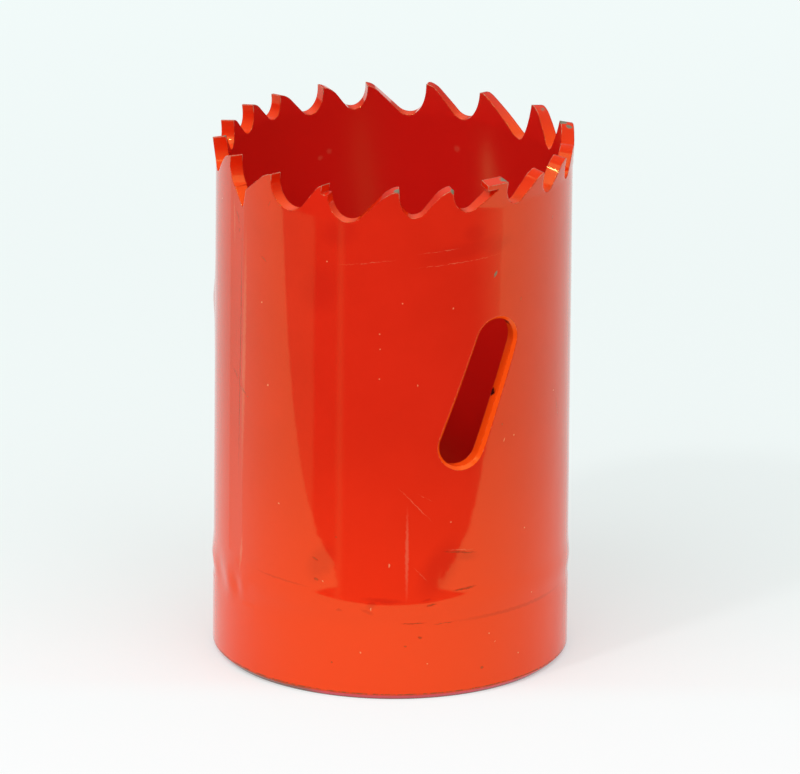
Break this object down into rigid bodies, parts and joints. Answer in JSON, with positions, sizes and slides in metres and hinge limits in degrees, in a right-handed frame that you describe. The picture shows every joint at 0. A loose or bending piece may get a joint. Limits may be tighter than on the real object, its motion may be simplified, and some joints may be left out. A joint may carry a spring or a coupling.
{
  "type": "hole saw",
  "caption": "Cup-shaped hole saw with a set, variable pitch tooth line, slanted side slots and a threaded back plate with drive pin holes.",
  "frame": {"origin": "centre of the closed end's flat face, on the saw's axis", "axes": "+Z along the axis from the closed end towards the teeth, -Y towards the side with the front slot"},
  "size_m": [0.0321, 0.0321, 0.0478],
  "materials": {
    "enamelled_steel": "glossy red-orange enamel, worn bare at the tooth tips",
    "enamelled_plate": "glossy red-orange enamel, bare in the threaded bore"
  },
  "bodies": {
    "root": {"saw_wall": "enamelled_steel", "back_plate": "enamelled_plate"}
  },
  "joints": []
}
